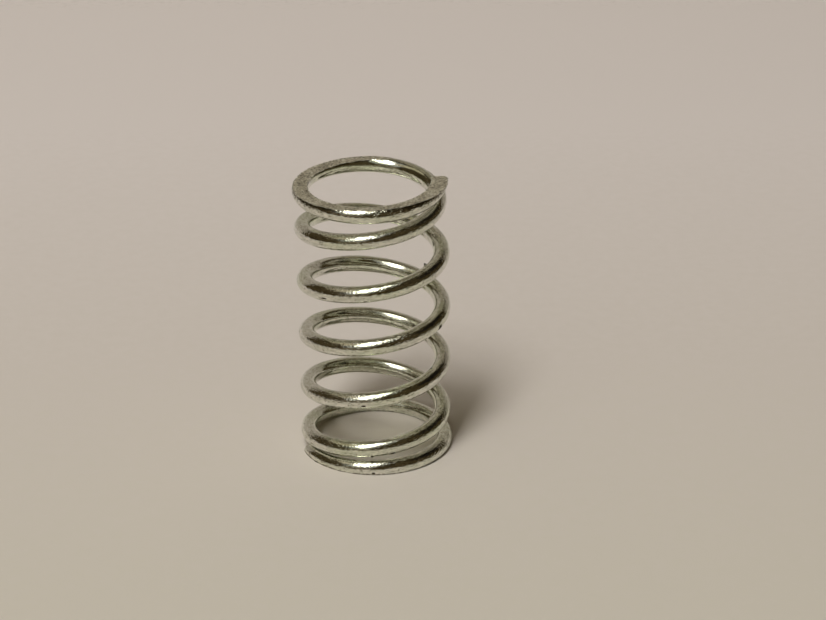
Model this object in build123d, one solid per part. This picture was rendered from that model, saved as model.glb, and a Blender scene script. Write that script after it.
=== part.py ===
from build123d import *
import math
import os

# Small compression spring of round plated wire, in millimetres.
# It is one piece: a right-hand coil, closed and ground flat at both ends, that stands on its lower end.
# Frame: +Z runs up the coil from the lower ground face, and the origin is the centre of that face.
# The front of the coil faces -Y.

# Driving dimensions
OUTER_DIA = 12.0        # across the coils
WIRE_DIA = 1.3
FREE_LENGTH = 22.2      # between the two ground faces, on the axis
TOTAL_TURNS = 6.47      # from tip to tip, closed coils included
LOWER_TIP_ANGLE = 198.0  # where the lower tip lies, in degrees round from +X

# How the coil strays from a perfect cylinder
TOP_OFFSET = -0.32      # shift of the top coil's centre along X
SIDE_BOW = 0.12         # bulge of the middle coils towards +X
TOP_FACE_TILT = 2.1     # out-of-square of the upper ground face, in degrees
TOP_FACE_HIGH_SIDE = 16.0  # the direction in which that face rises, in degrees round from +X
COIL_LEAN = 2.3         # lean of the topmost coil, in degrees
COIL_LEAN_SIDE = 66.0   # the direction in which that coil rises, in degrees round from +X
LEANING_TURNS = 3.1     # turns at the top over which the lean comes in

# Lengths along the coil of what each end does, in turns
CLIMB_RISE = 0.14       # how quickly the lift comes that clears the tip
CLIMB_FALL = 0.42       # how slowly it goes
TIP_DIP_TURNS = 0.30    # from the tip to where its dip starts
SWELL_TURNS = 0.3       # how far a wide or narrow spot reaches to each side

POINTS_PER_TURN = 24    # stations that carry the centreline


class ClosedEnd:
    """One closed and ground end. Turns are counted from its tip, and heights inward from its face."""

    def __init__(
        self, tip_overrun, tip_gap, seat_height, closed_turns, ramp_turns, climb_crest, swell, swell_turn
    ):
        self.tip_overrun = tip_overrun    # how far the centreline passes outside the face at the tip
        self.tip_gap = tip_gap            # clear space between the tip and the next coil
        self.seat_height = seat_height    # height of the centreline over the closed coil
        self.closed_turns = closed_turns  # turns that lie flat
        self.ramp_turns = ramp_turns      # turns over which the full pitch comes in
        self.climb_crest = climb_crest    # where the coil is lifted most to clear the tip
        self.swell = swell                # radius gained at the end's wide spot, or lost where negative
        self.swell_turn = swell_turn      # where that spot is


LOWER_END = ClosedEnd(
    tip_overrun=0.10, tip_gap=0.08, seat_height=0.42, closed_turns=0.746, ramp_turns=0.32,
    climb_crest=0.922, swell=0.19, swell_turn=0.34,
)
UPPER_END = ClosedEnd(
    tip_overrun=0.35, tip_gap=0.37, seat_height=0.44, closed_turns=0.573, ramp_turns=0.54,
    climb_crest=1.10, swell=-0.14, swell_turn=1.0,
)

# Worked out from those
WIRE_RADIUS = WIRE_DIA / 2
MEAN_RADIUS = OUTER_DIA / 2 - WIRE_RADIUS
LEAN_SLOPE = math.tan(math.radians(COIL_LEAN))


def ramp_in(turns, ramp_turns):
    """Turns of full pitch gained after a ramp that starts at 0."""
    if turns <= 0:
        return 0.0
    if turns < ramp_turns:
        return turns**2 / (2 * ramp_turns)
    return turns - ramp_turns / 2


def climb_shape(end, turns):
    """Lift of the coil over the tip below it, as a share of the whole lift."""
    x = turns - end.climb_crest
    width = CLIMB_RISE if x < 0 else CLIMB_FALL
    return math.exp(-((x / width) ** 2))


def tip_dip(end, turns):
    """How far the end of the wire dips towards its face."""
    left = max(0.0, 1 - turns / TIP_DIP_TURNS)
    return (end.seat_height + end.tip_overrun) * left**2


def pitched_turns():
    """Turns of full pitch between the two closed ends."""
    total = TOTAL_TURNS
    for end in (LOWER_END, UPPER_END):
        total -= end.closed_turns + end.ramp_turns / 2
    return total


PITCH = (FREE_LENGTH - LOWER_END.seat_height - UPPER_END.seat_height) / pitched_turns()


def climb_lift(end):
    """Whole lift that keeps the second coil clear of the tip by the tip's gap."""
    wanted = WIRE_DIA + end.tip_gap - end.tip_overrun
    free = end.seat_height + PITCH * ramp_in(1 - end.closed_turns, end.ramp_turns)
    return (wanted - free) / climb_shape(end, 1)


def end_offset(end, turns):
    """What an end adds to the plain climb of the coil: the dip at the tip and the lift past it."""
    return climb_lift(end) * climb_shape(end, turns) - tip_dip(end, turns)


def height(turns):
    """Height of the centreline after so many turns from the lower tip, before the top leans."""
    to_top = TOTAL_TURNS - turns
    last_ramp = TOTAL_TURNS - UPPER_END.closed_turns - UPPER_END.ramp_turns
    gained = ramp_in(turns - LOWER_END.closed_turns, LOWER_END.ramp_turns)
    gained -= ramp_in(turns - last_ramp, UPPER_END.ramp_turns)
    return LOWER_END.seat_height + PITCH * gained + end_offset(LOWER_END, turns) - end_offset(UPPER_END, to_top)


def swell(end, turns):
    """Radius that the coil gains or loses near an end."""
    x = (turns - end.swell_turn) / SWELL_TURNS
    return end.swell * math.exp(-(x**2))


def centreline(turns):
    """Point of the wire's centreline after so many turns from the lower tip."""
    to_top = TOTAL_TURNS - turns
    angle = math.radians(LOWER_TIP_ANGLE) + 2 * math.pi * turns
    radius = MEAN_RADIUS + swell(LOWER_END, turns) + swell(UPPER_END, to_top)
    z = height(turns)
    up = z / FREE_LENGTH
    x = radius * math.cos(angle) + TOP_OFFSET * up + SIDE_BOW * 4 * up * (1 - up)
    y = radius * math.sin(angle)
    lean = max(0.0, 1 - to_top / LEANING_TURNS)
    rise = radius * math.cos(angle - math.radians(COIL_LEAN_SIDE))
    return Vector(x, y, z + lean * LEAN_SLOPE * rise)


def wound_wire():
    """The round wire as wound, before the ends are ground."""
    stations = round(TOTAL_TURNS * POINTS_PER_TURN)
    path = Spline(*[centreline(TOTAL_TURNS * i / stations) for i in range(stations + 1)])
    start = Plane(origin=path @ 0, z_dir=path % 0)
    return sweep(start * Circle(WIRE_RADIUS), path=path, is_frenet=True)


def ground_slab():
    """Everything between the two ground faces."""
    side = 2 * OUTER_DIA
    block = Box(side, side, 2 * FREE_LENGTH, align=(Align.CENTER, Align.CENTER, Align.MIN))
    tilt = Rot(0, 0, TOP_FACE_HIGH_SIDE) * Rot(0, -TOP_FACE_TILT, 0)
    above = Pos(0, 0, FREE_LENGTH) * tilt * Box(
        2 * side, 2 * side, 2 * FREE_LENGTH, align=(Align.CENTER, Align.CENTER, Align.MIN)
    )
    return block - above


def spring_coil():
    return wound_wire() & ground_slab()


os.makedirs("parts", exist_ok=True)
export_step(spring_coil(), "parts/spring_coil.step")
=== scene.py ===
import bpy
import bmesh
import math
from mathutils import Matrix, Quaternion, Vector, noise

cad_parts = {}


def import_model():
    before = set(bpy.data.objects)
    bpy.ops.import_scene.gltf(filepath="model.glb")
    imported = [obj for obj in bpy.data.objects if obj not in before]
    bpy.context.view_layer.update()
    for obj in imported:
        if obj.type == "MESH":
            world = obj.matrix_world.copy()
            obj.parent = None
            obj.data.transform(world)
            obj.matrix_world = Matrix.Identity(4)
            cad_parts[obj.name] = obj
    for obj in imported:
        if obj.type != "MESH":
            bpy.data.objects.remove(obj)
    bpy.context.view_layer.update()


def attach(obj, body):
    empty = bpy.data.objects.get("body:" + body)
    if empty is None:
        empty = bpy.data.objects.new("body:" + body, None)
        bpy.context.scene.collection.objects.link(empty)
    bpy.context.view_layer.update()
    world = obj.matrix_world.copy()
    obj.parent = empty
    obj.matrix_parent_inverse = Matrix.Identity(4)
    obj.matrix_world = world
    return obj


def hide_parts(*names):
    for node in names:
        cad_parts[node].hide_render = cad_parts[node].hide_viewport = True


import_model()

# Small compression spring of round plated wire, closed and ground flat at both ends.
# Sizes below are in millimetres unless they say otherwise.
MM = 0.001

# ---- Driving dimensions, as in the CAD ----
OUTER_DIA = 12.0          # across the coils
WIRE_DIA = 1.3
FREE_LENGTH = 22.2        # between the two ground faces, on the axis
TOTAL_TURNS = 6.47        # from tip to tip, closed coils included
LOWER_TIP_ANGLE = 198.0   # where the lower tip lies, in degrees round from +X

# How the coil strays from a perfect cylinder
TOP_OFFSET = -0.32        # shift of the top coil's centre along X
SIDE_BOW = 0.12           # bulge of the middle coils towards +X
TOP_FACE_TILT = 2.1       # out-of-square of the upper ground face, in degrees
TOP_FACE_HIGH_SIDE = 16.0   # the direction in which that face rises, in degrees round from +X
COIL_LEAN = 2.3           # lean of the topmost coil, in degrees
COIL_LEAN_SIDE = 66.0     # the direction in which that coil rises, in degrees round from +X
LEANING_TURNS = 3.1       # turns at the top over which the lean comes in

# Lengths along the coil of what each end does, in turns
CLIMB_RISE = 0.14         # how quickly the lift comes that clears the tip
CLIMB_FALL = 0.42         # how slowly it goes
TIP_DIP_TURNS = 0.30      # from the tip to where its dip starts
SWELL_TURNS = 0.3         # how far a wide or narrow spot reaches to each side

WIRE_RADIUS = WIRE_DIA / 2
MEAN_RADIUS = OUTER_DIA / 2 - WIRE_RADIUS
LEAN_SLOPE = math.tan(math.radians(COIL_LEAN))

# ---- Mesh of the wire ----
END_TURNS = 1.1           # turns at each end that carry fine stations
END_STATIONS = 250        # stations per turn there
MIDDLE_STATIONS = 96      # stations per turn elsewhere
LEAST_STEP = 0.0001       # turns between stations that are not taken as one
TANGENT_STEP = 0.0005     # turns to each side over which the wire's direction is taken
SIDE_POINTS = 24          # points up each side of the wire between the two faces' edges
SHARP_ANGLE = math.radians(32)
SKIN = 0.003              # the surface lies this much inside the CAD wire
SURFACE_RADIUS = WIRE_RADIUS - SKIN

# ---- Rounded outer corner of the upper tip ----
TIP_ROUND = 0.35          # its radius
TIP_STATIONS = (0.01, 0.03, 0.06, 0.1, 0.16, 0.22, 0.28, 0.35)   # extra stations, from the tip back

# ---- Ground faces and the burrs on their edges ----
LEAST_FLAT_ANGLE = math.radians(10)   # half angle of a face's points where nothing is ground off
FLAT_STOPS = (-1, -0.93, -0.7, -0.35, 0, 0.35, 0.7, 0.93, 1)   # places across a face, in half widths
LIP_ANGLE = 0.1           # round the wire from a ground edge to the root of its burr, in radians
BURR_REACH = 0.06         # how far a large burr stands out from a ground edge
BURR_DROP = 0.4           # how far a burr bends back from the face, as a share of how far it stands out
BURR_GRAIN = 6.0          # burrs per millimetre of edge
BURR_DRIFT = 0.3          # grain of the slow change along the edge, as a share of that
BURR_LEVEL = 0.35         # usual size of a burr, as a share of that reach
BURR_SLOW = 0.9           # how much the slow change adds or takes away
BURR_QUICK = 0.7          # how much each burr adds or takes away
BURR_ONSET = 4            # how quickly burrs grow where the face starts, per radian of its half angle
SLOW_NOISE = (7.0, 3.0)   # step in the noise from edge to edge, and its starting row
QUICK_NOISE = (11.0, 9.0)

# ---- Frayed strips beside the ground edges ----
EDGE_POINTS = 10          # side points in the strip beside an upper ground edge
NARROW_EDGE_POINTS = 3    # the same for a lower ground edge and on the inside of the coil
CLEAN_STRETCH = 0.30      # turns from the upper tip back to a stretch with hardly any fraying
CLEAN_TURNS = 0.085       # half the length of that stretch, in turns
CLEAN_SHARE = 0.85        # how much of the strip is missing there

# ---- Mesh of the marks ----
MARK_REACH = 2            # lengths of a mark to each side of its middle that carry extra stations
MARK_STATIONS = 3         # those stations per length
MARK_END = 3              # lengths from its middle past which a mark leaves nothing

# ---- Patterns on the metal: noise scale per millimetre, detail and roughness ----
TONE = (4.5, 4.0, 0.7)
TINTS = (0.35, 2.0, 0.5)
PITS = (6.0, 2.0, 0.6)
RIM_GRAIN = (7.0, 2.0, 0.6)
PATCHES = (0.45, 2.0, 0.5)
DRAW_LINES = (12.0, 2.0, 0.5)
PEEL = (8.0, 2.0, 0.5)
GRIT = (9.0, 1.0, 0.5)
GROUND_GRAIN = (6.0, 4.0, 0.65)
GROUND_CLOUDS = (0.9, 2.0, 0.5)
RUBBLE = (7.0, 3.0, 0.6)

# How many times longer along the wire than across it a pattern is
DRAWN_STRETCH = 9.0
TONE_STRETCH = 3.0
EVEN_STRETCH = 1.6
GROUND_STRETCH = 1.3

# Colours by a pattern's value
PLATE_STOPS = ((0.36, (0.60, 0.61, 0.53)), (0.64, (0.91, 0.91, 0.85)))
GREEN_STOPS = ((0.36, (0.55, 0.61, 0.45)), (0.64, (0.87, 0.92, 0.74)))
PIT_STOPS = ((0.3, (0.25, 0.22, 0.16)), (0.7, (0.36, 0.33, 0.26)))
DIRT_STOPS = ((0.3, (0.03, 0.022, 0.014)), (0.7, (0.10, 0.08, 0.05)))
RIM_STOPS = ((0.34, (0.95, 0.94, 0.86)), (0.43, (0.14, 0.12, 0.08)))
GROUND_STOPS = (
    (0.36, (0.22, 0.20, 0.15)), (0.44, (0.54, 0.51, 0.42)),
    (0.55, (0.72, 0.69, 0.58)), (0.62, (0.92, 0.91, 0.84)),
)
GROUND_RIM_STOPS = ((0.46, (0.12, 0.10, 0.07)), (0.56, (0.95, 0.94, 0.86)))

# What a pattern does: its values from the first number to the second give the third to the fourth
GREEN_SHARE = (0.44, 0.62, 0.0, 0.6)
PIT_SHARE = (0.62, 0.69, 0.0, 1.0)
DIRT_RAGGEDNESS = (0.35, 0.55, 0.5, 1.6)
DIRT_SHARE = (0.25, 0.6, 0.0, 1.0)
DIRT_METALLIC = (0.25, 0.6, 1.0, 0.0)
DIRT_ROUGHNESS = (0.25, 0.6, 0.0, 0.8)
RIM_RAGGEDNESS = (0.35, 0.65, -0.5, 0.5)
RIM_SHARE = (0.35, 0.65, 0.0, 0.9)
PLATE_ROUGHNESS = (0.35, 0.65, 0.10, 0.15)
PATCH_WEAR = (0.40, 0.62, 0.5, 1.0)
OUTSIDE_WEAR = (-0.3 * WIRE_RADIUS, 0.3 * WIRE_RADIUS, 0.25, 1.0)          # by place across the wire
SIDE_WEAR = (-0.1 * MEAN_RADIUS * MM, 0.5 * MEAN_RADIUS * MM, 0.85, 1.0)   # by place along X
GRIT_SHARE = (0.50, 0.68, 0.0, 1.0)
CLOUD_SHIFT = (0.35, 0.65, -0.045, 0.045)
GROUND_RIM_RAGGEDNESS = (0.3, 0.7, -0.35, 0.35)
GROUND_RIM_SHARE = (0.85, 1.0, 0.0, 1.0)
GROUND_ROUGHNESS = (0.3, 0.7, 0.40, 0.60)

DIRT_SHINE = 0.15         # specular level where dirt hides the metal
EDGE_WEAR = 0.6           # how much more worn the wire is at a ground edge
DRAW_STRENGTH = 0.6       # of the drawing lines, on the outside of the coil
DRAW_HEIGHT = 0.008       # heights of the reliefs
PEEL_HEIGHT = 0.015
GRIT_HEIGHT = 0.010
RUBBLE_HEIGHT = 0.04

# Sockets of a mix node for its share, its two colours and its result
MIX_SHARE = 0
MIX_FIRST = 6
MIX_SECOND = 7
MIX_RESULT = 2

# ---- Paper, in metres and degrees ----
FLOOR_FRONT = -0.11
FLOOR_LEFT = 0.35
FLOOR_RIGHT = 0.35
SWEEP_START = 0.15
SWEEP_RADIUS = 0.10
SWEEP_ANGLE = 80
SWEEP_STEPS = 24
SWEEP_TOP = 0.20
FLOOR_PAINTED_LIGHT_FADE = (-0.025, 0.175, 0.0, 1.0)          # along Y, from the warm front to the back: painted light brightens the paper towards the back, and painted shade darkens the sweep
# Paper colours along Y: the brighter, cooler back colour is painted light, and the darker sweep colour is
# painted shade
FRONT_COLOUR = (0.722, 0.665, 0.571)
MIDDLE_COLOUR = (0.745, 0.676, 0.611)
BACK_PAINTED_LIGHT_COLOUR = (0.825, 0.752, 0.707)
SWEEP_PAINTED_SHADE_COLOUR = (0.56, 0.51, 0.45)
FLOOR_PAINTED_LIGHT_STOPS = (
    (0.0, FRONT_COLOUR), (0.2, MIDDLE_COLOUR), (0.5, BACK_PAINTED_LIGHT_COLOUR),
    (0.76, BACK_PAINTED_LIGHT_COLOUR), (0.92, SWEEP_PAINTED_SHADE_COLOUR),
)
FLOOR_GRAIN = (900.0, 4.0, 0.5)                 # noise scale per metre, detail and roughness
FLOOR_MOTTLING = (0.3, 0.7, -0.03, 0.03)
FLOOR_ROUGHNESS = 0.9
FLOOR_SHINE = 0.1

# ---- Light, in metres and degrees ----
# A place is an azimuth, from the front towards +X, and an elevation.
# A glow's stops are places from one edge to the other, and shares of the glow there.
KEY_PLACE = (-29, 63)     # lights the paper; the metal reflects the softbox instead
KEY_DISTANCE = 1.0
KEY_SIZE = (0.20, 0.46)
KEY_TURN = 10
KEY_POWER = 5.0
SOFTBOX_COLOUR = (1.0, 0.97, 0.85, 1)
HALO_PLACE = (-36, 58)    # dim outer cloth of the softbox
HALO_DISTANCE = 1.1
HALO_SIZE = (1.0, 1.5)
HALO_GLOW = 1.0
HALO_ACROSS = ((0.0, 0.0), (0.14, 0.4), (0.26, 1.0), (0.74, 1.0), (0.86, 0.5), (1.0, 0.0))
HALO_UPWARD = ((0.0, 0.25), (0.16, 0.6), (0.30, 0.9), (0.44, 1.0), (0.84, 1.0), (0.97, 0.0))
CORE_PLACE = (-37, 66)    # bright middle of the softbox, seen only in reflections
CORE_DISTANCE = 1.0
CORE_SIZE = (0.56, 1.32)
CORE_GLOW = 6.0
CORE_ACROSS = (
    (0.0, 0.0), (0.12, 0.06), (0.26, 0.7), (0.34, 1.0),
    (0.68, 1.0), (0.76, 0.7), (0.88, 0.06), (1.0, 0.0),
)
CORE_UPWARD = (
    (0.0, 0.0), (0.10, 0.06), (0.22, 0.7), (0.30, 1.0),
    (0.74, 1.0), (0.82, 0.7), (0.94, 0.06), (1.0, 0.0),
)
PANEL_DISTANCE = 0.9
PANELS = (                # name, place, size, and the colour and strength of the light that leaves it
    ("upper_left_panel", (-97, 57), (0.75, 0.27), (1.0, 0.86, 0.60, 1), 0.40),
    ("front_panel", (-32, 12), (0.75, 0.20), (1.0, 0.80, 0.52, 1), 0.17),
    ("back_panel", (177, 50), (0.67, 0.48), (1.0, 0.86, 0.62, 1), 0.22),
    ("right_flag", (102, 45), (0.80, 0.50), (1.0, 0.8, 0.6, 1), 0.008),
)
ROOM_COLOUR = (0.049, 0.035, 0.016, 1)
GLOW_PLACE = (1.5, 0, 4.0)   # inside the coil, in millimetres
GLOW_RADIUS = 1.5            # in millimetres
GLOW_COLOUR = (0.87, 1.0, 0.51)
GLOW_POWER = 0.000035

# ---- Camera, in millimetres and degrees ----
CAMERA_PLACE = (0, -149.819, 79.368)
CAMERA_AIM = (3.005, 0, 11.43)
CAMERA_ROLL = 0.02
LENS = 91.084
SENSOR_WIDTH = 36.0
CLIP_START = 0.01         # in metres
CLIP_END = 10


# ---- Closed ends ----
class ClosedEnd:
    """One closed and ground end. Turns are counted from its tip, and heights inward from its face."""

    def __init__(
        self, tip_overrun, tip_gap, seat_height, closed_turns, ramp_turns, climb_crest, swell, swell_turn
    ):
        self.tip_overrun = tip_overrun    # how far the centreline passes outside the face at the tip
        self.tip_gap = tip_gap            # clear space between the tip and the next coil
        self.seat_height = seat_height    # height of the centreline over the closed coil
        self.closed_turns = closed_turns  # turns that lie flat
        self.ramp_turns = ramp_turns      # turns over which the full pitch comes in
        self.climb_crest = climb_crest    # where the coil is lifted most to clear the tip
        self.swell = swell                # radius gained at the end's wide spot, or lost where negative
        self.swell_turn = swell_turn      # where that spot is


LOWER_END = ClosedEnd(
    tip_overrun=0.10, tip_gap=0.08, seat_height=0.42, closed_turns=0.746, ramp_turns=0.32,
    climb_crest=0.922, swell=0.19, swell_turn=0.34,
)
UPPER_END = ClosedEnd(
    tip_overrun=0.35, tip_gap=0.37, seat_height=0.44, closed_turns=0.573, ramp_turns=0.54,
    climb_crest=1.10, swell=-0.14, swell_turn=1.0,
)


# ---- Centreline of the wire ----
def ramp_in(turns, ramp_turns):
    """Turns of full pitch gained after a ramp that starts at 0."""
    if turns <= 0:
        return 0.0
    if turns < ramp_turns:
        return turns**2 / (2 * ramp_turns)
    return turns - ramp_turns / 2


def climb_shape(end, turns):
    """Lift of the coil over the tip below it, as a share of the whole lift."""
    x = turns - end.climb_crest
    width = CLIMB_RISE if x < 0 else CLIMB_FALL
    return math.exp(-((x / width) ** 2))


def tip_dip(end, turns):
    """How far the end of the wire dips towards its face."""
    left = max(0.0, 1 - turns / TIP_DIP_TURNS)
    return (end.seat_height + end.tip_overrun) * left**2


def pitched_turns():
    """Turns of full pitch between the two closed ends."""
    total = TOTAL_TURNS
    for end in (LOWER_END, UPPER_END):
        total -= end.closed_turns + end.ramp_turns / 2
    return total


PITCH = (FREE_LENGTH - LOWER_END.seat_height - UPPER_END.seat_height) / pitched_turns()


def climb_lift(end):
    """Whole lift that keeps the second coil clear of the tip by the tip's gap."""
    wanted = WIRE_DIA + end.tip_gap - end.tip_overrun
    free = end.seat_height + PITCH * ramp_in(1 - end.closed_turns, end.ramp_turns)
    return (wanted - free) / climb_shape(end, 1)


def end_offset(end, turns):
    """What an end adds to the plain climb of the coil: the dip at the tip and the lift past it."""
    return climb_lift(end) * climb_shape(end, turns) - tip_dip(end, turns)


def height(turns):
    """Height of the centreline after so many turns from the lower tip, before the top leans."""
    to_top = TOTAL_TURNS - turns
    last_ramp = TOTAL_TURNS - UPPER_END.closed_turns - UPPER_END.ramp_turns
    gained = ramp_in(turns - LOWER_END.closed_turns, LOWER_END.ramp_turns)
    gained -= ramp_in(turns - last_ramp, UPPER_END.ramp_turns)
    z = LOWER_END.seat_height + PITCH * gained
    return z + end_offset(LOWER_END, turns) - end_offset(UPPER_END, to_top)


def swell(end, turns):
    """Radius that the coil gains at an end's wide spot, or loses at a narrow one."""
    x = (turns - end.swell_turn) / SWELL_TURNS
    return end.swell * math.exp(-(x**2))


def centreline(turns):
    """Point of the wire's centreline after so many turns from the lower tip."""
    to_top = TOTAL_TURNS - turns
    angle = math.radians(LOWER_TIP_ANGLE) + 2 * math.pi * turns
    radius = MEAN_RADIUS + swell(LOWER_END, turns) + swell(UPPER_END, to_top)
    z = height(turns)
    up = z / FREE_LENGTH
    x = radius * math.cos(angle) + TOP_OFFSET * up + SIDE_BOW * 4 * up * (1 - up)
    y = radius * math.sin(angle)
    lean = max(0.0, 1 - to_top / LEANING_TURNS)
    rise = radius * math.cos(angle - math.radians(COIL_LEAN_SIDE))
    return Vector((x, y, z + lean * LEAN_SLOPE * rise))


def turns_for(distance):
    """Turns in a distance along the wire."""
    return distance / (2 * math.pi * MEAN_RADIUS)


def station_list():
    """Turns at which the wire has a ring of points, closer together at its ends and at the marks."""
    end_count = round(END_TURNS * END_STATIONS)
    fine = [END_TURNS * i / end_count for i in range(end_count)]
    middle_turns = TOTAL_TURNS - 2 * END_TURNS
    count = round(middle_turns * MIDDLE_STATIONS)
    found = [END_TURNS + middle_turns * i / count for i in range(count + 1)]
    found += fine + [TOTAL_TURNS - t for t in fine]
    found += [TOTAL_TURNS - turns_for(d) for d in TIP_STATIONS]
    near = range(-MARK_REACH * MARK_STATIONS, MARK_REACH * MARK_STATIONS + 1)
    for mark in MARKS:
        found += [mark.turns + turns_for(mark.length * i / MARK_STATIONS) for i in near]
    found.sort()
    kept = [found[0]]
    for t in found[1:]:
        if t - kept[-1] > LEAST_STEP:
            kept.append(t)
    return kept


# ---- Ground faces ----
def face_planes():
    """Outward direction and one point of the lower and the upper ground face."""
    tilt = math.radians(TOP_FACE_TILT)
    side = math.radians(TOP_FACE_HIGH_SIDE)
    lower = (Vector((0, 0, -1)), Vector((0, 0, 0)))
    x, y = math.cos(side), math.sin(side)
    normal = Vector((-math.sin(tilt) * x, -math.sin(tilt) * y, math.cos(tilt)))
    return lower, (normal, Vector((0, 0, FREE_LENGTH)))


class Section:
    """Cross-section of the wire at one station."""

    def __init__(self, turns):
        self.centre = centreline(turns)
        ahead, behind = centreline(turns + TANGENT_STEP), centreline(turns - TANGENT_STEP)
        self.tangent = (ahead - behind).normalized()
        self.out = self.tangent.cross(Vector((0, 0, 1))).normalized()
        self.up = self.out.cross(self.tangent)

    def cut(self, plane):
        """Angle at which the section faces the plane, and how far off it is, as a share of the radius."""
        normal, point = plane
        across, along = normal.dot(self.out), normal.dot(self.up)
        share = normal.dot(point - self.centre) / (SURFACE_RADIUS * math.hypot(across, along))
        return math.atan2(along, across), share

    def place(self, x, y):
        return self.centre + self.out * x + self.up * y


def edge_noise(length, edge, step, start):
    """Smooth noise along a ground edge, different for every edge."""
    return noise.noise(Vector((length, edge * step, start)))


def burr(length, edge, half):
    """How far the burr on a ground edge stands out, as a share of the wire's radius."""
    onset = max(0.0, min(1.0, (half - LEAST_FLAT_ANGLE) * BURR_ONSET))
    slow = edge_noise(length * BURR_GRAIN * BURR_DRIFT, edge, *SLOW_NOISE)
    quick = edge_noise(length * BURR_GRAIN, edge, *QUICK_NOISE)
    size = max(0.0, BURR_LEVEL + BURR_SLOW * slow + BURR_QUICK * quick)
    return BURR_REACH / SURFACE_RADIUS * onset * size


def flat_points(facing, share, length):
    """Points across one ground face, or across that part of the round wire where nothing is ground off.
    Returns pairs (x, y) in the section and the half angle that they cover."""
    half = max(LEAST_FLAT_ANGLE, math.acos(max(-1.0, min(1.0, share))))
    ground = share < math.cos(LEAST_FLAT_ANGLE)
    found = []
    for t in FLAT_STOPS:
        depth = share if ground else min(math.cos(t * half), share)
        side = t * math.sin(half) if ground else math.sin(t * half)
        if ground and abs(t) == 1:
            out = burr(length, t + facing, half)
            side += t * out
            depth -= BURR_DROP * out
        x = depth * math.cos(facing) - side * math.sin(facing)
        y = depth * math.sin(facing) + side * math.cos(facing)
        found.append((x * SURFACE_RADIUS, y * SURFACE_RADIUS))
    return found, half


def side_points(start, end):
    """Points round one side of the wire from one ground edge to the other."""
    found = []
    first, last = start + LIP_ANGLE, end - LIP_ANGLE
    for i in range(SIDE_POINTS):
        a = first + (last - first) * i / (SIDE_POINTS - 1)
        found.append((SURFACE_RADIUS * math.cos(a), SURFACE_RADIUS * math.sin(a)))
    return found


def ring(section, length):
    """One closed ring of section points, from the lower face up the outside and down the inside,
    and whether the wire is ground there at its lower and its upper side."""
    lower, upper = face_planes()
    low_facing, low_share = section.cut(lower)
    top_facing, top_share = section.cut(upper)
    low, low_half = flat_points(low_facing, low_share, length)
    top, top_half = flat_points(top_facing, top_share, length)
    outside = side_points(low_facing + low_half, top_facing - top_half)
    inside = side_points(top_facing + top_half, low_facing + 2 * math.pi - low_half)
    low_ground = low_share < math.cos(LEAST_FLAT_ANGLE)
    top_ground = top_share < math.cos(LEAST_FLAT_ANGLE)
    return low + outside + top + inside, low_ground, top_ground


def ground_steps(low_ground, top_ground):
    """Places in a ring where the steps across a ground face start."""
    steps = range(len(FLAT_STOPS) - 1)
    found = set()
    if low_ground:
        found |= set(steps)
    if top_ground:
        found |= {len(FLAT_STOPS) + SIDE_POINTS + i for i in steps}
    return found


def fray_reach(turns):
    """How many side points the frayed strip covers; the strip narrows over the clean stretch."""
    along = (turns - (TOTAL_TURNS - CLEAN_STRETCH)) / CLEAN_TURNS
    return EDGE_POINTS * (1 - CLEAN_SHARE * math.exp(-(along**2)))


def strip(reach):
    """Nearness of the side points to the edge that they start from, for a strip of reach points."""
    return [max(0.0, 1 - (i + 1) / reach) for i in range(SIDE_POINTS)]


def edge_nearness(turns, low_ground, top_ground):
    """How near every place in a ring is to the edge of a ground face: 1 on the edge, 0 well away."""
    low_strip = [a * low_ground for a in strip(NARROW_EDGE_POINTS)]
    top_strip = [a * top_ground for a in strip(fray_reach(turns))]
    inner_strip = [a * top_ground for a in strip(NARROW_EDGE_POINTS)]
    low = [abs(t) * low_ground for t in FLAT_STOPS]
    top = [abs(t) * top_ground for t in FLAT_STOPS]
    outside = [max(a, b) for a, b in zip(low_strip, reversed(top_strip))]
    inside = [max(a, b) for a, b in zip(inner_strip, reversed(low_strip))]
    return low + outside + top + inside


# ---- Nicks, dents, crumbs and dirty spots ----
class Mark:
    """A spot on the wire. Its side is measured round the wire from outward, upward positive, in degrees.
    It sinks in by its depth, or stands up where that is negative. Dirt of 1 or more covers its middle."""

    def __init__(self, turns, side, length, width, depth, dirt):
        self.turns = turns
        self.side = math.radians(side)
        self.length = length
        self.width = width
        self.depth = depth
        self.dirt = dirt

    def share(self, turns, x, y):
        """How much of the mark lies at a section point, from 0 to 1."""
        along = (turns - self.turns) / turns_for(self.length)
        if abs(along) > MARK_END:
            return 0.0
        turned = math.remainder(math.atan2(y, x) - self.side, 2 * math.pi)
        around = turned * WIRE_RADIUS / self.width
        return math.exp(-(along**2) - around**2)


MARKS = (
    Mark(5.983, 90, 0.05, 0.50, 0.015, 0.25),   # crease across the upper ground face
    Mark(4.350, 118, 0.11, 0.10, -0.22, 1.0),   # crumb of dirt standing up on the inside at the right
    Mark(4.469, 152, 0.35, 0.09, 0.02, 1.0),    # dirt along the inside further round
    Mark(3.362, -16, 0.22, 0.20, -0.05, 1.3),   # dirty bruise on the outside at the right
    Mark(2.365, 112, 0.14, 0.10, -0.03, 1.0),
    Mark(2.975, 22, 0.22, 0.20, 0.05, 0.0),     # flattened spot on the left
    Mark(2.175, -17, 0.17, 0.08, 0.03, 1.2),    # rub marks under the front strands
    Mark(4.089, -20, 0.26, 0.07, 0.01, 1.0),
    Mark(4.183, -40, 0.17, 0.07, 0.01, 1.0),
    Mark(0.194, -14, 0.12, 0.08, 0.02, 1.2),
    Mark(1.190, -44, 0.11, 0.14, -0.10, 1.4),   # crumbs of dirt between the lowest strands
    Mark(1.234, -40, 0.22, 0.14, -0.05, 1.3),
    Mark(5.151, 87, 0.03, 0.14, 0.03, 0.8),     # tool marks across the second coil from the top
    Mark(5.173, 103, 0.03, 0.14, 0.03, 0.8),
    Mark(5.213, 103, 0.03, 0.14, 0.03, 0.8),
)


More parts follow.
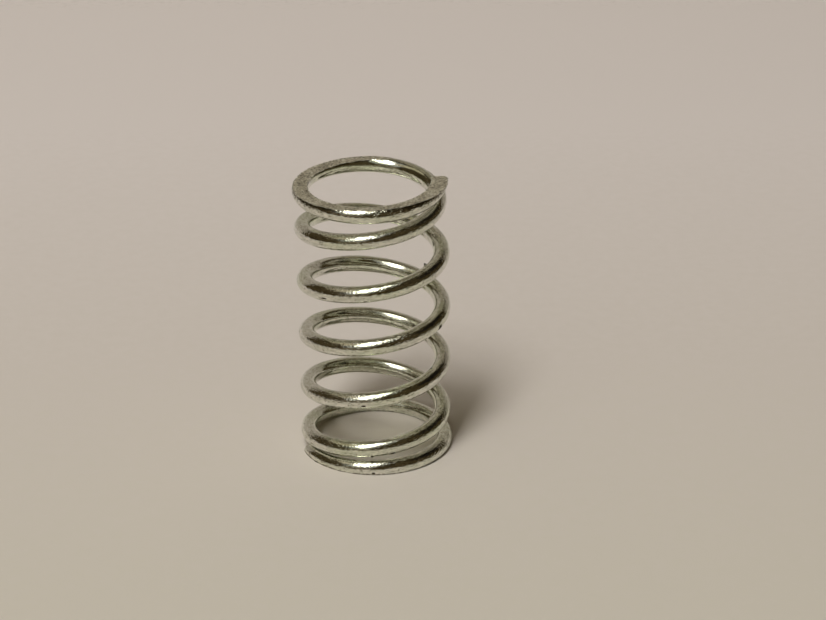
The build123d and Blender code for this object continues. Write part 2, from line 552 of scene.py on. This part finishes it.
def worn(turns, x, y):
    """Section point moved in or out by the marks there, and how dirty it is."""
    depth = dirt = 0.0
    for mark in MARKS:
        share = mark.share(turns, x, y)
        depth += mark.depth * share
        dirt = max(dirt, mark.dirt * share)
    kept = 1 - depth / WIRE_RADIUS
    return x * kept, y * kept, dirt


def rounded_tip(turns, x):
    """Outward place of a section point, drawn in where the upper tip's outer corner is rounded off."""
    gone = TIP_ROUND - (TOTAL_TURNS - turns) / turns_for(1)
    if x <= 0 or gone <= 0:
        return x
    limit = SURFACE_RADIUS - TIP_ROUND + math.sqrt(TIP_ROUND**2 - gone**2)
    return x * limit / SURFACE_RADIUS


def between_faces(p):
    """The point itself, or its foot on a ground face that it would pass."""
    for normal, point in face_planes():
        past = normal.dot(p - point)
        if past > 0:
            p = p - normal * past
    return p


def lay_rings(bm):
    """Rings of vertices along the wire, and for each ring the places where its ground steps start."""
    wire = bm.verts.layers.float_vector.new("wire_place")
    dirty = bm.verts.layers.float.new("dirt")
    edge = bm.verts.layers.float.new("edge")
    rows, grounds = [], []
    length = 0.0
    before = None
    for turns in station_list():
        section = Section(turns)
        if before is not None:
            length += (section.centre - before).length
        before = section.centre
        points, low_ground, top_ground = ring(section, length)
        nearness = edge_nearness(turns, low_ground, top_ground)
        row = []
        for i, (x, y) in enumerate(points):
            x, y, dirt = worn(turns, rounded_tip(turns, x), y)
            v = bm.verts.new(between_faces(section.place(x, y)) * MM)
            v[wire] = Vector((x, y, length))
            v[dirty] = dirt
            v[edge] = nearness[i]
            row.append(v)
        rows.append(row)
        grounds.append(ground_steps(low_ground, top_ground))
    return rows, grounds


def join_rings(bm, rows, grounds):
    """Faces between the rings, in the second material where the wire is ground, and over its two ends."""
    for k in range(len(rows) - 1):
        a, b = rows[k], rows[k + 1]
        for i in range(len(a)):
            j = (i + 1) % len(a)
            f = bm.faces.new((a[i], a[j], b[j], b[i]))
            f.material_index = int(i in grounds[k] and i in grounds[k + 1])
            f.smooth = True
    bm.faces.new(rows[0])
    bm.faces.new(list(reversed(rows[-1])))
    bmesh.ops.recalc_face_normals(bm, faces=bm.faces)


def spring_mesh():
    bm = bmesh.new()
    rows, grounds = lay_rings(bm)
    join_rings(bm, rows, grounds)
    mesh = bpy.data.meshes.new("spring_coil_wire")
    bm.to_mesh(mesh)
    bm.free()
    mesh.set_sharp_from_angle(angle=SHARP_ANGLE)
    return mesh


# ---- Materials ----
def new_material(name, shader="ShaderNodeBsdfPrincipled"):
    """Material of one shader node, with its tree and that node."""
    m = bpy.data.materials.new(name)
    m.use_nodes = True
    m.node_tree.nodes.clear()
    out = m.node_tree.nodes.new("ShaderNodeOutputMaterial")
    look = m.node_tree.nodes.new(shader)
    m.node_tree.links.new(look.outputs[0], out.inputs[0])
    return m, m.node_tree, look


def node(tree, kind, **inputs):
    n = tree.nodes.new(kind)
    for key, value in inputs.items():
        n.inputs[key].default_value = value
    return n


def feed(tree, value, socket):
    """Set a socket to a number, or link a pattern to it."""
    if isinstance(value, float):
        socket.default_value = value
    else:
        tree.links.new(value, socket)


def attribute(tree, name):
    n = tree.nodes.new("ShaderNodeAttribute")
    n.attribute_name = name
    return n


def wire_place(tree):
    """Place on the straightened wire in millimetres: outward, up and along."""
    return attribute(tree, "wire_place").outputs["Vector"]


def wire_space(tree, stretch):
    """Place on the straightened wire, squeezed along its length by stretch."""
    squeeze = node(tree, "ShaderNodeMapping", Scale=(1, 1, 1 / stretch))
    tree.links.new(wire_place(tree), squeeze.inputs["Vector"])
    return squeeze.outputs["Vector"]


def object_place(tree):
    return tree.nodes.new("ShaderNodeTexCoord").outputs["Object"]


def coordinate(tree, place, axis):
    apart = tree.nodes.new("ShaderNodeSeparateXYZ")
    tree.links.new(place, apart.inputs[0])
    return apart.outputs[axis]


def spread(tree, pattern, low, high, to_low, to_high):
    """A pattern's values from low to high stretched over to_low to to_high."""
    n = node(tree, "ShaderNodeMapRange")
    for key, value in (("From Min", low), ("From Max", high), ("To Min", to_low), ("To Max", to_high)):
        n.inputs[key].default_value = value
    tree.links.new(pattern, n.inputs["Value"])
    return n.outputs["Result"]


def speckle(tree, space, pattern):
    """Noise in a space; the pattern is its scale, detail and roughness."""
    scale, detail, roughness = pattern
    n = node(tree, "ShaderNodeTexNoise", Scale=scale, Detail=detail, Roughness=roughness)
    tree.links.new(space, n.inputs["Vector"])
    return n.outputs["Fac"]


def relief(tree, pattern, rise, strength, under=None):
    """Surface relief of a pattern, with its height in millimetres, laid over an earlier relief."""
    n = node(tree, "ShaderNodeBump", Distance=rise * MM)
    feed(tree, strength, n.inputs["Strength"])
    tree.links.new(pattern, n.inputs["Height"])
    if under is not None:
        tree.links.new(under, n.inputs["Normal"])
    return n.outputs["Normal"]


def ramp(tree, pattern, *stops):
    """Colours for a pattern's values; each stop is a value and a colour."""
    n = tree.nodes.new("ShaderNodeValToRGB")
    while len(n.color_ramp.elements) < len(stops):
        n.color_ramp.elements.new(0.5)   # moved to its own place below
    for e, (position, colour) in zip(n.color_ramp.elements, stops):
        e.position = position
        e.color = colour + (1,)
    tree.links.new(pattern, n.inputs["Fac"])
    return n.outputs["Color"]


def blend(tree, share, first, second):
    """First colour where share is 0, second where it is 1."""
    n = tree.nodes.new("ShaderNodeMix")
    n.data_type = "RGBA"
    tree.links.new(share, n.inputs[MIX_SHARE])
    tree.links.new(first, n.inputs[MIX_FIRST])
    tree.links.new(second, n.inputs[MIX_SECOND])
    return n.outputs[MIX_RESULT]


def combine(tree, operation, a, b):
    """Arithmetic on two patterns, or on a pattern and a number."""
    n = tree.nodes.new("ShaderNodeMath")
    n.operation = operation
    tree.links.new(a, n.inputs[0])
    feed(tree, b, n.inputs[1])
    return n.outputs[0]


def outwardness(tree):
    """1 on the outside of the coil, less on the inside, where the wire is not rubbed."""
    return spread(tree, coordinate(tree, wire_place(tree), "X"), *OUTSIDE_WEAR)


def rubbed_side(tree):
    """1 on the side of the spring that is rubbed the most, less on the opposite side."""
    return spread(tree, coordinate(tree, object_place(tree), "X"), *SIDE_WEAR)


def plate_colour(tree, tone, even):
    """Bright plating that turns greenish in places."""
    clean = ramp(tree, tone, *PLATE_STOPS)
    greenish = ramp(tree, tone, *GREEN_STOPS)
    tints = speckle(tree, even, TINTS)
    return blend(tree, spread(tree, tints, *GREEN_SHARE), clean, greenish)


def wire_relief(tree, even, near_edge, patches):
    """Drawing lines under an uneven, worn skin with grit in it."""
    outside = outwardness(tree)
    lines = speckle(tree, wire_space(tree, DRAWN_STRETCH), DRAW_LINES)
    lines = relief(tree, lines, DRAW_HEIGHT, combine(tree, "MULTIPLY", outside, DRAW_STRENGTH))
    wear = combine(tree, "MULTIPLY", spread(tree, patches, *PATCH_WEAR), outside)
    wear = combine(tree, "MULTIPLY", wear, rubbed_side(tree))
    wear = combine(tree, "ADD", wear, combine(tree, "MULTIPLY", near_edge, EDGE_WEAR))
    peel = relief(tree, speckle(tree, even, PEEL), PEEL_HEIGHT, wear, lines)
    grains = spread(tree, speckle(tree, even, GRIT), *GRIT_SHARE)
    return relief(tree, grains, GRIT_HEIGHT, wear, peel)


def plated_wire():
    m, tree, bsdf = new_material("plated_wire")
    bsdf.inputs["Specular IOR Level"].default_value = DIRT_SHINE
    even = wire_space(tree, EVEN_STRETCH)
    tone = speckle(tree, wire_space(tree, TONE_STRETCH), TONE)
    pits = speckle(tree, even, PITS)
    grain = speckle(tree, even, RIM_GRAIN)
    patches = speckle(tree, even, PATCHES)
    near_edge = attribute(tree, "edge").outputs["Fac"]
    dirt = attribute(tree, "dirt").outputs["Fac"]
    colour = plate_colour(tree, tone, even)
    colour = blend(tree, spread(tree, pits, *PIT_SHARE), colour, ramp(tree, tone, *PIT_STOPS))
    dirt = combine(tree, "MULTIPLY", dirt, spread(tree, pits, *DIRT_RAGGEDNESS))
    colour = blend(tree, spread(tree, dirt, *DIRT_SHARE), colour, ramp(tree, pits, *DIRT_STOPS))
    frayed = combine(tree, "ADD", near_edge, spread(tree, grain, *RIM_RAGGEDNESS))
    colour = blend(tree, spread(tree, frayed, *RIM_SHARE), colour, ramp(tree, grain, *RIM_STOPS))
    tree.links.new(colour, bsdf.inputs["Base Color"])
    tree.links.new(spread(tree, dirt, *DIRT_METALLIC), bsdf.inputs["Metallic"])
    gloss = spread(tree, patches, *PLATE_ROUGHNESS)
    matt = spread(tree, dirt, *DIRT_ROUGHNESS)
    tree.links.new(combine(tree, "MAXIMUM", gloss, matt), bsdf.inputs["Roughness"])
    tree.links.new(wire_relief(tree, even, near_edge, patches), bsdf.inputs["Normal"])
    return m


def ground_face():
    m, tree, bsdf = new_material("ground_face")
    bsdf.inputs["Metallic"].default_value = 1.0
    even = wire_space(tree, GROUND_STRETCH)
    grain = speckle(tree, even, GROUND_GRAIN)
    near_edge = attribute(tree, "edge").outputs["Fac"]
    clouds = spread(tree, speckle(tree, even, GROUND_CLOUDS), *CLOUD_SHIFT)
    metal = ramp(tree, combine(tree, "ADD", grain, clouds), *GROUND_STOPS)
    frayed = combine(tree, "ADD", near_edge, spread(tree, grain, *GROUND_RIM_RAGGEDNESS))
    rim = ramp(tree, grain, *GROUND_RIM_STOPS)
    colour = blend(tree, spread(tree, frayed, *GROUND_RIM_SHARE), metal, rim)
    tree.links.new(colour, bsdf.inputs["Base Color"])
    tree.links.new(spread(tree, grain, *GROUND_ROUGHNESS), bsdf.inputs["Roughness"])
    rubble = relief(tree, speckle(tree, even, RUBBLE), RUBBLE_HEIGHT, 1.0)
    tree.links.new(rubble, bsdf.inputs["Normal"])
    return m


def floor_material():
    m, tree, bsdf = new_material("floor")
    place = object_place(tree)
    # painted light and shade: by place along Y, the paper's colour brightens towards the back and darkens
    # on the sweep
    back = spread(tree, coordinate(tree, place, "Y"), *FLOOR_PAINTED_LIGHT_FADE)
    mottling = spread(tree, speckle(tree, place, FLOOR_GRAIN), *FLOOR_MOTTLING)
    colour = ramp(tree, combine(tree, "ADD", back, mottling), *FLOOR_PAINTED_LIGHT_STOPS)
    tree.links.new(colour, bsdf.inputs["Base Color"])
    bsdf.inputs["Roughness"].default_value = FLOOR_ROUGHNESS
    bsdf.inputs["Specular IOR Level"].default_value = FLOOR_SHINE
    return m


# ---- Object ----
def add_object(name, data):
    o = bpy.data.objects.new(name, data)
    bpy.context.scene.collection.objects.link(o)
    return o


def spring():
    mesh = spring_mesh()
    o = add_object("spring_coil_wire", mesh)
    mesh.materials.append(plated_wire())
    mesh.materials.append(ground_face())
    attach(o, "root")
    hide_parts("spring_coil")
    return o


# ---- Floor, light and camera ----
def rectangle(name, size_x, size_y):
    mesh = bpy.data.meshes.new(name)
    x, y = size_x / 2, size_y / 2
    mesh.from_pydata([(-x, -y, 0), (x, -y, 0), (x, y, 0), (-x, y, 0)], [], [(0, 1, 2, 3)])
    return add_object(name, mesh)


def sweep_profile():
    """Side view of the paper, as (y, z) in metres: flat in front, curved up at the back."""
    found = [(FLOOR_FRONT, 0.0), (SWEEP_START, 0.0)]
    for i in range(1, SWEEP_STEPS + 1):
        a = math.radians(SWEEP_ANGLE) * i / SWEEP_STEPS
        found.append((SWEEP_START + SWEEP_RADIUS * math.sin(a), SWEEP_RADIUS * (1 - math.cos(a))))
    y, z = found[-1]
    a = math.radians(SWEEP_ANGLE)
    rest = (SWEEP_TOP - z) / math.sin(a)
    found.append((y + rest * math.cos(a), SWEEP_TOP))
    return found


def floor():
    """Pale paper under the spring, swept up behind it."""
    verts, faces = [], []
    for y, z in sweep_profile():
        verts += [(-FLOOR_LEFT, y, z), (FLOOR_RIGHT, y, z)]
    for i in range(0, len(verts) - 2, 2):
        faces.append((i, i + 1, i + 3, i + 2))
    mesh = bpy.data.meshes.new("floor")
    mesh.from_pydata(verts, [], faces)
    for f in mesh.polygons:
        f.use_smooth = True
    mesh.materials.append(floor_material())
    add_object("floor", mesh)


def direction(azimuth, elevation):
    """Unit vector; azimuth 0 is towards -Y, the front, and 90 towards +X, in degrees."""
    a, e = math.radians(azimuth), math.radians(elevation)
    return Vector((math.sin(a) * math.cos(e), -math.cos(a) * math.cos(e), math.sin(e)))


def set_out(o, place, distance, turn):
    """Put an object out at a place, facing the frame's origin, and turn it about that line."""
    towards = direction(*place)
    o.location = towards * distance
    o.rotation_mode = "QUATERNION"
    o.rotation_quaternion = towards.to_track_quat("Z", "Y") @ Quaternion((0, 0, 1), math.radians(turn))


def key_light():
    light = bpy.data.lights.new("key_light", "AREA")
    light.shape = "RECTANGLE"
    light.size, light.size_y = KEY_SIZE
    light.energy = KEY_POWER
    o = add_object("key_light", light)
    set_out(o, KEY_PLACE, KEY_DISTANCE, KEY_TURN)
    o.visible_glossy = False


def coil_glow():
    """Faint light inside the coil, for the light that the bright coils throw down between them."""
    light = bpy.data.lights.new("coil_glow", "POINT")
    light.color = GLOW_COLOUR
    light.energy = GLOW_POWER
    light.shadow_soft_size = GLOW_RADIUS * MM
    o = add_object("coil_glow", light)
    o.location = Vector(GLOW_PLACE) * MM
    o.visible_glossy = False


def card(name, place, size, turn, distance):
    """Flat card out at a place, facing the spring, with the tree and the shader of its glow."""
    o = rectangle(name, *size)
    set_out(o, place, distance, turn)
    m, tree, glow = new_material(name, "ShaderNodeEmission")
    o.data.materials.append(m)
    o.visible_shadow = False
    return o, tree, glow


def panel(name, place, size, colour, strength):
    """Plain card that the wire reflects; colour and strength are the light that leaves it."""
    _, _, glow = card(name, place, size, 0, PANEL_DISTANCE)
    glow.inputs["Color"].default_value = colour
    glow.inputs["Strength"].default_value = strength


def cloth(name, place, size, distance, strength, across_stops, upward_stops):
    """Glowing cloth that the wire reflects; its glow fades to its edges by the two rows of stops."""
    o, tree, glow = card(name, place, size, KEY_TURN, distance)
    glow.inputs["Color"].default_value = SOFTBOX_COLOUR
    width, tall = size
    across = spread(tree, coordinate(tree, object_place(tree), "X"), -width / 2, width / 2, 0.0, 1.0)
    upward = spread(tree, coordinate(tree, object_place(tree), "Y"), -tall / 2, tall / 2, 0.0, 1.0)
    sides = ramp(tree, across, *[(at, (v, v, v)) for at, v in across_stops])
    ends = ramp(tree, upward, *[(at, (v, v, v)) for at, v in upward_stops])
    both = combine(tree, "MULTIPLY", sides, ends)
    tree.links.new(combine(tree, "MULTIPLY", both, strength), glow.inputs["Strength"])
    return o


def softbox():
    """What the metal reflects in place of the key light: a dim halo and a bright core."""
    cloth("softbox_halo", HALO_PLACE, HALO_SIZE, HALO_DISTANCE, HALO_GLOW, HALO_ACROSS, HALO_UPWARD)
    core = cloth(
        "softbox_core", CORE_PLACE, CORE_SIZE, CORE_DISTANCE, CORE_GLOW, CORE_ACROSS, CORE_UPWARD
    )
    core.visible_diffuse = False


def panels():
    for name, place, size, colour, strength in PANELS:
        panel(name, place, size, colour, strength)


def world():
    w = bpy.data.worlds.new("room")
    w.use_nodes = True
    w.node_tree.nodes["Background"].inputs["Color"].default_value = ROOM_COLOUR
    bpy.context.scene.world = w


def camera():
    data = bpy.data.cameras.new("camera")
    data.sensor_width = SENSOR_WIDTH
    data.lens = LENS
    data.clip_start = CLIP_START
    data.clip_end = CLIP_END
    o = add_object("camera", data)
    o.location = Vector(CAMERA_PLACE) * MM
    towards = Vector(CAMERA_AIM) - Vector(CAMERA_PLACE)
    roll = Quaternion((0, 0, 1), math.radians(CAMERA_ROLL))
    o.rotation_mode = "QUATERNION"
    o.rotation_quaternion = towards.to_track_quat("-Z", "Y") @ roll
    bpy.context.scene.camera = o


spring()
floor()
key_light()
coil_glow()
softbox()
panels()
world()
camera()
bpy.context.scene.view_settings.view_transform = "Standard"
